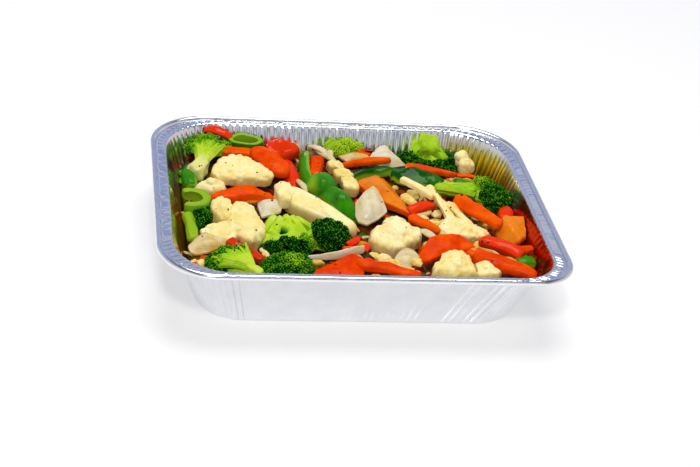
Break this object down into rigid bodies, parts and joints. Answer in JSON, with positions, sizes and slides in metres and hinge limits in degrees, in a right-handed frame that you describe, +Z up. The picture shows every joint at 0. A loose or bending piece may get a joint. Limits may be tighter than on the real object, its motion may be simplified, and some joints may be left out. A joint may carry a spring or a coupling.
{
  "type": "tray meal",
  "caption": "Rectangular foil tray with pleated walls and a rolled rim, filled with a heap of stir-fried broccoli, cauliflower, carrot, sweet pepper and onion.",
  "frame": {"origin": "centre of the tray's flat underside, which is also the bottom centre of the bounding box", "axes": "+X along the tray's length, +Y across its width towards the far side, +Z up out of the tray"},
  "size_m": [0.323, 0.264, 0.061],
  "materials": {
    "foil": "thin pressed foil, bright and slightly satin",
    "broccoli": "cooked broccoli, dark dull buds on moist pale stalks",
    "cauliflower": "cooked cauliflower, cream, moist",
    "carrot": "cooked carrot, orange, moist and glossy",
    "red_pepper": "cooked red sweet pepper, glossy skin",
    "green_pepper": "cooked green sweet pepper, glossy skin",
    "orange_pepper": "cooked orange sweet pepper, glossy skin",
    "onion": "cooked onion, whitish, translucent and moist",
    "mixed_vegetables": "a heap of cut vegetables, oily"
  },
  "bodies": {
    "root": {"foil_tray": "foil", "vegetable_bed": "mixed_vegetables", "broccoli_01": "broccoli", "broccoli_02": "broccoli", "broccoli_03": "broccoli", "broccoli_04": "broccoli", "broccoli_05": "broccoli", "broccoli_06": "broccoli", "broccoli_07": "broccoli", "broccoli_08": "broccoli", "cauliflower_01": "cauliflower", "cauliflower_02": "cauliflower", "cauliflower_03": "cauliflower", "cauliflower_04": "cauliflower", "cauliflower_05": "cauliflower", "cauliflower_06": "cauliflower", "cauliflower_07": "cauliflower", "cauliflower_08": "cauliflower", "cauliflower_09": "cauliflower", "cauliflower_10": "cauliflower", "carrot_01": "carrot", "carrot_02": "carrot", "carrot_03": "carrot", "carrot_04": "carrot", "carrot_05": "carrot", "carrot_06": "carrot", "carrot_07": "carrot", "carrot_08": "carrot", "carrot_09": "carrot", "carrot_10": "carrot", "carrot_11": "carrot", "carrot_12": "carrot", "carrot_13": "carrot", "carrot_14": "carrot", "red_pepper_01": "red_pepper", "red_pepper_02": "red_pepper", "red_pepper_03": "red_pepper", "red_pepper_04": "red_pepper", "red_pepper_05": "red_pepper", "red_pepper_06": "red_pepper", "red_pepper_07": "red_pepper", "green_pepper_01": "green_pepper", "green_pepper_02": "green_pepper", "green_pepper_03": "green_pepper", "green_pepper_04": "green_pepper", "green_pepper_05": "green_pepper", "green_pepper_06": "green_pepper", "green_pepper_07": "green_pepper", "green_pepper_08": "green_pepper", "green_pepper_09": "green_pepper", "orange_pepper_01": "orange_pepper", "orange_pepper_02": "orange_pepper", "onion_01": "onion", "onion_02": "onion", "onion_03": "onion", "onion_04": "onion", "onion_05": "onion", "onion_06": "onion", "onion_07": "onion", "onion_08": "onion"}
  },
  "joints": []
}
